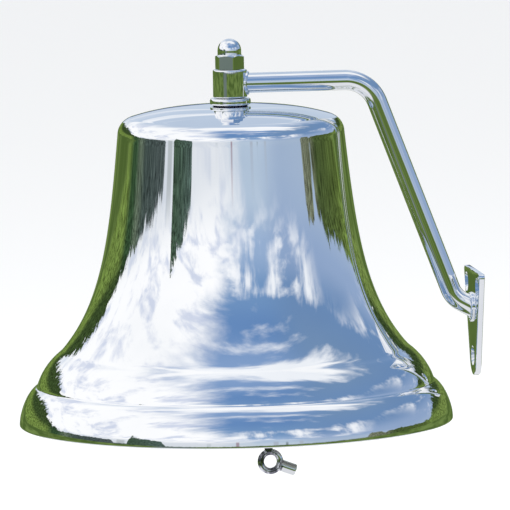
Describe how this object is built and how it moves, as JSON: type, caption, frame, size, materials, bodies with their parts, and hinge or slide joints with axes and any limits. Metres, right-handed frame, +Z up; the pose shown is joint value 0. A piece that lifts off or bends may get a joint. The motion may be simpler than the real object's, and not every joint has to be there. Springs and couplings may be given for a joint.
{
  "type": "ship's bell",
  "caption": "Mirror-polished ship's bell with a beaded lip, clamped under a bent-bar wall bracket, with a swinging clapper and a lanyard eye.",
  "frame": {"origin": "centre of the wall plate's back face, where it meets the wall", "axes": "+X out of the wall plate's back face, into the wall; +Z up; the bell hangs at -X"},
  "size_m": [0.2725, 0.2552, 0.2594],
  "materials": {
    "bell_chrome": "mirror polished",
    "bracket_chrome": "mirror polished",
    "fastener_chrome": "polished",
    "clapper_chrome": "polished",
    "hanger_steel": "satin",
    "rubber": "matte"
  },
  "bodies": {
    "bell_and_bracket": {"wall_plate": "bracket_chrome", "bracket_arm": "bracket_chrome", "bracket_boss": "bracket_chrome", "acorn_nut": "fastener_chrome", "crown_collar": "fastener_chrome", "crown_gasket": "rubber", "bell_shell": "bell_chrome", "inner_washer": "hanger_steel", "clamp_nut": "hanger_steel", "hanger_eye_bolt": "hanger_steel"},
    "link": {"clapper_link": "clapper_chrome"},
    "clapper": {"clapper_rod": "clapper_chrome", "clapper_ball": "clapper_chrome", "tail_eye": "clapper_chrome"}
  },
  "joints": [
    {"name": "clapper_turn", "type": "hinge", "parent": "bell_and_bracket", "child": "link", "pos_m": [-0.145, 0, 0.08855], "axis": [0, 0, 1], "range_deg": [-33, 33]},
    {"name": "clapper_swing", "type": "hinge", "parent": "link", "child": "clapper", "pos_m": [-0.145, 0, 0.07975], "axis": [0, -1, 0], "range_deg": [-43.5, 29.5]}
  ]
}
